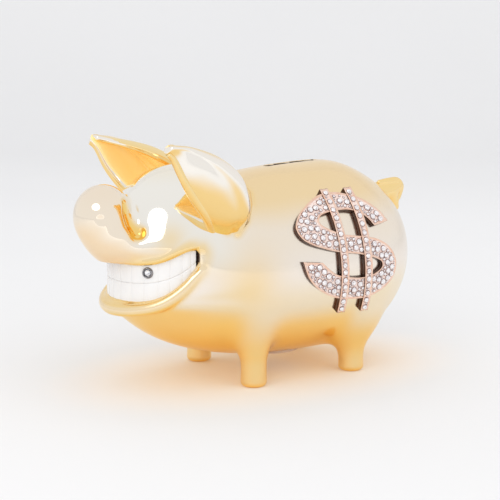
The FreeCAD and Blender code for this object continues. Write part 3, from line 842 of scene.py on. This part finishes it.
def gilt(name, ramp, rough_low, rough_high, head=None, metallic=1.0, painted_glow=0.0, root=None):
    """Gold whose colour holds painted light: pale where the surface faces sideways, a painted reflection of
    bright lamps, deeper gold where it faces up and deepest where it faces down, a painted shade.

    head gives the shell's own painted-light ramp and gloss for the head, painted_glow is the emission of
    the ears' hollows, painted light, and root is the span of heights over which an ear turns deep gold, a
    painted shade.
    """
    look = Look(name)
    look.set(Metallic=metallic)
    normal = look.node("ShaderNodeNewGeometry").outputs["Normal"]
    nx, ny, nz = look.split(normal)
    height = look.math("MULTIPLY_ADD", nz, 0.5)
    height.node.inputs[2].default_value = 0.5
    drift = look.math("MULTIPLY_ADD", look.noise(14.0, 2.0), 0.10)
    drift.node.inputs[2].default_value = -0.05
    # painted light and shade: the colour follows how far the surface faces up, with a little random drift
    colour = look.ramp(look.math("ADD", height, drift), ramp)
    rough = look.range(look.noise(9.0, 2.0), 0.35, 0.65, rough_low, rough_high)
    # painted light: the ears' hollows give off a warm glow, though nothing there is a lamp
    if painted_glow:
        look.set(Emission_Color=(1.0, 0.72, 0.28, 1), Emission_Strength=painted_glow)
    x, y, z = look.split(look.place)
    # painted shade: an ear turns deep gold towards its root
    if root:
        colour = look.mix(look.range(z, *root), colour, PAINTED_SHADE_GOLD)
    if head:
        at_head = look.math("MULTIPLY", look.range(y, -0.022, -0.055), look.range(z, 0.066, 0.078))
        at_snout = look.range(y, -0.082, -0.097)
        face = look.mix(at_snout, look.ramp(look.math("ADD", height, drift), head["ramp"]),
                        look.ramp(look.math("ADD", height, drift), SNOUT_GOLD_AND_PAINTED_LIGHT))
        colour = look.mix(at_head, colour, face)
        rough = look.mix(at_head, rough, (head["rough"],) * 3)
        # painted shade: lip rolls, creases, ear folds and spots round the cheeks turn deep gold
        crease_shade = look.node("ShaderNodeAttribute", attribute_name="crease_shade").outputs["Fac"]
        colour = look.mix(crease_shade, colour, PAINTED_SHADE_GOLD)
        # painted shade: towards the floor the shell takes the legs' deeper gold ramp
        low = look.range(z, 0.046, 0.020)
        colour = look.mix(low, colour, look.ramp(height, LEG_GOLD_AND_PAINTED_SHADE))
        # painted shade down the coin slot's walls
        inside = look.range(look.math("ABSOLUTE", x), 0.0028, 0.0023)
        for coordinate, start, end in ((y, 0.0106, 0.0114), (y, 0.0483, 0.0475), (z, 0.100, 0.104)):
            inside = look.math("MULTIPLY", inside, look.range(coordinate, start, end))
        colour = look.mix(inside, colour, SLOT_SHADE)
        rough = look.mix(inside, rough, (0.7, 0.7, 0.7))
    look.colour(colour)
    look.rough(rough)
    return look.mat


PAINTED_SHADE_GOLD = (0.98, 0.66, 0.17)
SLOT_SHADE = (0.10, 0.05, 0.02)
# the legs' ramp: gold with a deep painted shade facing down and no pale painted reflection
LEG_GOLD_AND_PAINTED_SHADE = [
    (0.0, (1.0, 0.62, 0.10)), (0.3, (0.96, 0.66, 0.24)), (0.6, (0.95, 0.72, 0.36)),
    (1.0, (0.95, 0.72, 0.36)),
]
# Ramps from facing down to facing up: the gold's own tones with painted light in them, a pale painted
# reflection facing sideways and a deep painted shade facing down.
SIDE_GOLD_AND_PAINTED_LIGHT = [
    (0.0, (1.0, 0.62, 0.10)), (0.19, (0.98, 0.70, 0.27)), (0.34, (0.94, 0.81, 0.60)),
    (0.52, (0.94, 0.86, 0.77)), (0.72, (0.94, 0.84, 0.71)), (0.88, (0.95, 0.74, 0.44)),
    (1.0, (0.95, 0.72, 0.40)),
]
HEAD_GOLD_AND_PAINTED_LIGHT = [
    (0.0, (0.97, 0.66, 0.26)), (0.3, (0.95, 0.72, 0.42)), (0.48, (0.92, 0.82, 0.68)),
    (0.62, (0.93, 0.90, 0.83)), (0.85, (0.95, 0.92, 0.85)), (1.0, (0.95, 0.88, 0.74)),
]
SNOUT_GOLD_AND_PAINTED_LIGHT = [
    (0.0, (0.97, 0.66, 0.34)), (0.3, (0.96, 0.76, 0.52)), (0.55, (0.96, 0.85, 0.70)),
    (1.0, (0.95, 0.82, 0.66)),
]
EAR_GOLD_AND_PAINTED_LIGHT = [
    (0.0, (1.0, 0.62, 0.12)), (0.30, (0.97, 0.70, 0.30)), (0.46, (0.96, 0.92, 0.85)),
    (0.76, (0.96, 0.90, 0.82)), (1.0, (0.96, 0.74, 0.38)),
]
EAR_HOLLOW_GOLD_AND_PAINTED_LIGHT = [(0.0, (1.0, 0.70, 0.22)), (0.5, (1.0, 0.80, 0.40)), (1.0, (1.0, 0.82, 0.42))]
TAIL_GOLD_AND_PAINTED_LIGHT = [(0.0, (1.0, 0.60, 0.14)), (0.5, (1.0, 0.75, 0.36)), (1.0, (1.0, 0.74, 0.32))]
RIM_GOLD_AND_PAINTED_LIGHT = [(0.0, (1.0, 0.62, 0.16)), (0.5, (0.97, 0.74, 0.36)), (1.0, (0.97, 0.78, 0.44))]


def simple(name, low, high, scale, metallic, rough_low, rough_high, **more):
    """A material whose colour and gloss wander a little over the surface."""
    look = Look(name)
    look.set(Metallic=metallic, **more)
    wander = look.noise(scale)
    look.colour(look.ramp(wander, [(0.3, low), (0.7, high)]))
    look.rough(look.range(wander, 0.3, 0.7, rough_low, rough_high))
    return look.mat


def crystal(name, dark, bright, scale):
    look = Look(name)
    look.set(Metallic=0.55, Coat_Weight=1.0, Coat_Roughness=0.03)
    # painted glints and shade: noise spreads dark grey, pale and white patches over the facets
    look.colour(look.ramp(look.noise(scale, 1.0), [(0.30, dark), (0.46, bright), (0.62, (1, 1, 1))]))
    look.rough(look.range(look.noise(300.0), 0.3, 0.7, 0.05, 0.15))
    return look.mat


gold = gilt("gilt_shell", SIDE_GOLD_AND_PAINTED_LIGHT, 0.17, 0.24, {"ramp": HEAD_GOLD_AND_PAINTED_LIGHT, "rough": 0.07})
ear_gold = gilt("gilt_ear", EAR_GOLD_AND_PAINTED_LIGHT, 0.10, 0.16, root=(0.106, 0.093))
ear_inside = gilt("gilt_ear_inside", EAR_HOLLOW_GOLD_AND_PAINTED_LIGHT, 0.20, 0.26, metallic=0.25, painted_glow=0.16)
ear_rim = gilt("gilt_ear_rim", RIM_GOLD_AND_PAINTED_LIGHT, 0.10, 0.16)
tail_gold = gilt("gilt_tail", TAIL_GOLD_AND_PAINTED_LIGHT, 0.12, 0.18)
enamel = simple("tooth_glaze", (0.84, 0.82, 0.81), (0.90, 0.89, 0.88), 30, 0.0, 0.10, 0.18, Coat_Weight=0.6)
rose = simple("rose_gold", (0.93, 0.60, 0.45), (0.98, 0.72, 0.58), 220, 1.0, 0.16, 0.28)
pave = simple("pave_floor", (0.90, 0.66, 0.58), (1.0, 0.88, 0.82), 700, 0.5, 0.3, 0.5)
# near-black painted shade for the faces deep inside the mouth, slot and chamber
inner_shade = simple("painted_inner_shade", (0.035, 0.016, 0.008), (0.07, 0.034, 0.016), 60, 0.0, 0.6, 0.8)
# dark painted shade on the side walls of the sign's pieces
painted_wall_shade = simple("sign_walls_painted_shade", (0.045, 0.014, 0.006), (0.12, 0.04, 0.018), 90, 0.7, 0.25, 0.4)
seat_dark = simple("stone_seats", (0.26, 0.15, 0.13), (0.50, 0.33, 0.29), 500, 0.9, 0.3, 0.45)
steel = simple("dark_silver", (0.20, 0.19, 0.20), (0.36, 0.35, 0.36), 600, 1.0, 0.18, 0.3)
sparkle = crystal("crystal", (0.42, 0.38, 0.40), (0.92, 0.88, 0.90), 1500)
tooth_sparkle = crystal("tooth_crystal", (0.45, 0.45, 0.48), (0.92, 0.92, 0.95), 900)
rubber = simple("plug_rubber", (0.60, 0.46, 0.38), (0.68, 0.54, 0.45), 120, 0.0, 0.45, 0.6)


# ---------------------------------------------------------------- building the pieces
def finish_piece(obj, materials, node):
    """Gives a mesh its materials and puts it in the place of a CAD node of the bank."""
    for material in materials:
        obj.data.materials.append(material)
    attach(obj, "bank")
    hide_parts(node)


# Where deep gold is painted as crease shade: lines (points, radii, reach, share) and spots (centre, reach,
# share).
CREASE_SHADE_LINES = (
    (CREASE, CREASE_R, 2.2, 0.95), (EAR_DIP, EAR_DIP_R, 2.6, 0.95), (EAR_RIDGE, EAR_RIDGE_R, 2.6, 0.60),
)
CREASE_SHADE_SPOTS = (((44, -28, 66), 17, 0.65), ((37, -38, 43), 17, 0.65), ((37, -74, 93), 9, 0.45))


def crease_shade_amount(p):
    """How much deep gold is painted as crease shade: full in the lips' rolls and the folds, faint round the
    cheeks.
    """
    q = p.copy()
    q[:, 0] = np.abs(q[:, 0])
    low, high = lips(p)
    amount = 0.75 * np.exp(-np.maximum(high, 0) / 1.6)
    amount = np.maximum(amount, 0.45 * np.exp(-np.maximum(low, 0) / 1.6))
    for line, radii, reach, share in CREASE_SHADE_LINES:
        gap = np.maximum(tube(q, line, radii), 0)
        amount = np.maximum(amount, share * np.exp(-(gap / reach) ** 2))
    for centre, reach, share in CREASE_SHADE_SPOTS:
        gap = np.linalg.norm(q - np.array(centre, np.float32), axis=1)
        amount = np.maximum(amount, share * np.exp(-(gap / reach) ** 2))
    return amount


def build_shell():
    obj = solid_mesh("gilt_pig_shell", shell, (-66, -122, -4), (66, 116, 136), GRID)
    spots = np.empty(len(obj.data.vertices) * 3, np.float32)
    obj.data.vertices.foreach_get("co", spots)
    # a painted-shade weight for each vertex, read by the shell's material
    crease_shade = obj.data.attributes.new("crease_shade", "FLOAT", "POINT")
    crease_shade.data.foreach_set("value", crease_shade_amount(spots.reshape(-1, 3) / MM).astype(np.float32))
    count = len(obj.data.polygons)
    centres = np.empty(count * 3, np.float32)
    obj.data.polygons.foreach_get("center", centres)
    centres = centres.reshape(-1, 3) / MM
    low, high = lips(centres)
    # faces well below the surface get a near-black painted shade, except the lips' rolls and the plug's
    # seat
    depth = outside(centres)
    deep = (depth < -1.6) & (np.minimum(low, high) > 0.6)
    deep |= (slot_distance(centres) < SLOT_HALF + 0.4) & (depth < -0.45)
    from_plug = np.hypot(centres[:, 0], centres[:, 1] - PLUG_Y)
    deep &= ~((centres[:, 2] < 14.6) & (from_plug < 19))
    obj.data.polygons.foreach_set("material_index", deep.astype(np.int32))
    finish_piece(obj, [gold, inner_shade], "body_shell")


def build_ears():
    for name, node, side in (("near_ear", "left_ear", 1), ("far_ear", "right_ear", -1)):
        finish_piece(ear(name, side), [ear_gold, ear_inside, ear_rim], node)


def build_tail():
    obj = solid_mesh("curled_tail", tail_solid, (-14, 88, 86), (14, 126, 124), 0.6)
    finish_piece(obj, [tail_gold], "tail")


def build_teeth():
    finish_piece(teeth("upper_tooth_row", True), [enamel], "upper_teeth")
    finish_piece(teeth("lower_tooth_row", False), [enamel], "lower_teeth")


GEM_ANGLE, GEM_Z = 41.0, 73.5


def build_gem():
    face = mouth_point(np.array([GEM_ANGLE]), MOUTH_X, MOUTH_L, GEM_Z)[0]
    a = math.radians(GEM_ANGLE)
    out = np.array([math.sin(a) / MOUTH_X, -math.cos(a) / MOUTH_L, 0.0])
    out /= np.linalg.norm(out)
    ring = [(3.25, -1.0), (3.3, 0.3), (3.05, 1.0), (2.75, 1.2), (2.45, 1.1), (2.3, 0.7), (2.25, -1.0)]
    bezel = make_mesh("dark_bezel", *ring_piece(ring, face, out))
    finish_piece(bezel, [steel], "gem_bezel")
    v, f = brilliant(face - out * 0.2, out, 2.25, 1.5, 0.4)
    finish_piece(make_mesh("tooth_brilliant", v, f, smooth_faces=False), [tooth_sparkle], "tooth_gem")


def ring_piece(outline, centre, axis, count=56):
    """A ring whose section is a closed outline of (radius, height) pairs."""
    z = np.array(axis, float) / np.linalg.norm(axis)
    x = np.cross(z, (0.3, 0.2, 1.0))
    x /= np.linalg.norm(x)
    y = np.cross(z, x)
    verts, faces = [], []
    n = len(outline)
    for k in range(count):
        a = k * 2 * math.pi / count
        way = math.cos(a) * x + math.sin(a) * y
        verts.extend(np.array(centre) + way * r + z * h for r, h in outline)
        for j in range(n):
            i = (j + 1) % n
            m = (k + 1) % count
            faces.append((k * n + j, m * n + j, m * n + i, k * n + i))
    return np.array(verts), faces


def build_sign():
    left, right = s_curves()
    v, f, index = ribbon(left, right, S_TOP)
    plate = make_mesh("s_plate", v, f, material_index=index)
    finish_piece(plate, [rose, painted_wall_shade, pave], "dollar_s_plate")
    rng = random.Random(11)
    spots = scatter_s(rng)
    gems, seats = stones("s_crystals", spots, S_TOP - FIELD_SUNK + 0.02, 21)
    finish_piece(gems, [sparkle], "s_stones")
    v, f = seat_rings(seats)
    cups = make_mesh("s_stone_seats", v, f)
    finish_piece(cups, [seat_dark], "dollar_s_plate")
    for name in ("front", "rear"):
        left, right = bar_curves(name)
        v, f, index = ribbon(left, right, BAR_TOP)
        bar = make_mesh("bar_" + name, v, f, material_index=index)
        finish_piece(bar, [rose, painted_wall_shade, pave], "dollar_bar_" + name)
        middle = (left + right) / 2
        along = np.arange(len(middle))
        count = 16
        at = np.linspace(0.028, 0.972, count) * (len(middle) - 1)
        spots = []
        for k, place in enumerate(at):
            y = float(np.interp(place, along, middle[:, 0])) + rng.uniform(-0.1, 0.1)
            z = float(np.interp(place, along, middle[:, 1])) + rng.uniform(-0.3, 0.3)
            spots.append((y, z, 1.72 + rng.uniform(-0.14, 0.06)))
            if k % 2 == 0 and k < count - 1:
                half = place + (at[1] - at[0]) / 2
                y2 = float(np.interp(half, along, middle[:, 0]))
                z2 = float(np.interp(half, along, middle[:, 1]))
                spots.append((y2 + 1.0 * (1 if k % 4 else -1), z2, 0.5))
        gems, seats = stones(name + "_bar_crystals", spots, BAR_TOP - FIELD_SUNK + 0.02, 31 + len(name))
        finish_piece(gems, [sparkle], name + "_bar_stones")
        v, f = seat_rings(seats)
        finish_piece(make_mesh(name + "_bar_seats", v, f), [seat_dark], "dollar_bar_" + name)


def build_plug():
    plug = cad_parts["belly_plug"]
    for slot in plug.material_slots:
        slot.material = rubber


build_shell()
build_ears()
build_tail()
build_teeth()
build_gem()
build_sign()
build_plug()


# ---------------------------------------------------------------- stage, light and camera
FLOOR_GLOW = 0.20
# the tint of the painted bounce light on the floor round the pig
PAINTED_BOUNCE_TINT = (1.0, 0.62, 0.30)


def stage_mesh():
    """A floor that curves up far behind the pig into a backdrop."""
    away = Vector((-0.862, 0.507, 0)).normalized()
    across = Vector((-away.y, away.x, 0))
    profile = [(-2.2, 0.0), (1.6, 0.0)]
    turns = np.linspace(0.1, math.pi / 2, 12)
    profile += [(1.6 + 0.9 * math.sin(a), 0.9 - 0.9 * math.cos(a)) for a in turns]
    profile += [(2.5, 2.6)]
    verts, faces = [], []
    for d, h in profile:
        for side in (-2.8, 2.8):
            p = away * d + across * side
            verts.append((p.x, p.y, h))
    for k in range(len(profile) - 1):
        faces.append((2 * k, 2 * k + 1, 2 * k + 3, 2 * k + 2))
    me = bpy.data.meshes.new("floor")
    me.from_pydata(verts, [], faces)
    me.polygons.foreach_set("use_smooth", np.full(len(me.polygons), True))
    obj = bpy.data.objects.new("floor", me)
    bpy.context.scene.collection.objects.link(obj)
    look = Look("pale_floor")
    look.set(Roughness=0.85, Specular_IOR_Level=0.1)
    drift = look.noise(1.5, 2.0)
    look.colour(look.ramp(drift, [(0.3, (0.800, 0.798, 0.800)), (0.7, (0.812, 0.810, 0.812))]))
    # the floor glows faintly itself, stronger up the backdrop, and round the pig the glow is tinted warm as
    # a painted bounce of light from the gilt
    x, y, z = look.split(look.place)
    lift = look.range(z, 0.0, 0.9, 0.28, 0.62)
    grey = look.node("ShaderNodeCombineColor")
    for socket in grey.inputs[:3]:
        look.link(lift, socket)
    dx = look.math("DIVIDE", x, 0.085)
    dy = look.math("DIVIDE", look.math("SUBTRACT", y, 0.01), 0.135)
    from_pig = look.math("ADD", look.math("MULTIPLY", dx, dx), look.math("MULTIPLY", dy, dy))
    bounce_reach = look.range(from_pig, 0.0, 1.3, 1.0, 0.0)
    on_floor = look.range(z, 0.0, 0.05, 1.0, 0.0)
    painted_glow = look.mix(look.math("MULTIPLY", bounce_reach, on_floor), grey.outputs[0], PAINTED_BOUNCE_TINT)
    look.link(painted_glow, look.bsdf.inputs["Emission Color"])
    look.set(Emission_Strength=FLOOR_GLOW)
    me.materials.append(look.mat)


def panel(name, place, aim, size, power, colour=(1, 1, 1), mirrored=True):
    """A soft light; one that isn't mirrored lights matt surfaces but leaves no patch on the gilt."""
    data = bpy.data.lights.new(name, "AREA")
    data.shape = "ELLIPSE"
    data.size, data.size_y = size
    data.energy = power
    data.color = colour
    obj = bpy.data.objects.new(name, data)
    obj.location = place
    obj.rotation_euler = (Vector(aim) - Vector(place)).to_track_quat("-Z", "Y").to_euler()
    obj.visible_glossy = mirrored
    bpy.context.scene.collection.objects.link(obj)


stage_mesh()
panel("key_right", (1.3, 0.9, 1.3), (0, 0, 0.08), (2.0, 1.6), 4.0, mirrored=False)
panel("lens_side", (1.15, -0.95, 0.62), (0, -0.05, 0.1), (0.7, 0.5), 3.0, (1.0, 0.97, 0.92), mirrored=False)
panel("fill_front", (0.5, -1.2, 1.0), (0, -0.03, 0.08), (0.8, 0.6), 2.0)
panel("top", (-0.2, 0.1, 1.8), (0, 0, 0.05), (1.6, 1.6), 3.0, mirrored=False)

world = bpy.data.worlds.new("studio")
bpy.context.scene.world = world
world.use_nodes = True
background = world.node_tree.nodes["Background"]
background.inputs["Color"].default_value = (0.98, 0.985, 1.0, 1)
background.inputs["Strength"].default_value = 0.90

camera_data = bpy.data.cameras.new("camera")
camera_data.lens = 82.6
camera_data.sensor_width = 36
camera = bpy.data.objects.new("camera", camera_data)
camera.location = (0.6097, -0.3591, 0.1919)
camera.rotation_euler = (Vector((0, 0, 0.076)) - camera.location).to_track_quat("-Z", "Y").to_euler()
bpy.context.scene.collection.objects.link(camera)
bpy.context.scene.camera = camera
bpy.context.scene.view_settings.view_transform = "Standard"
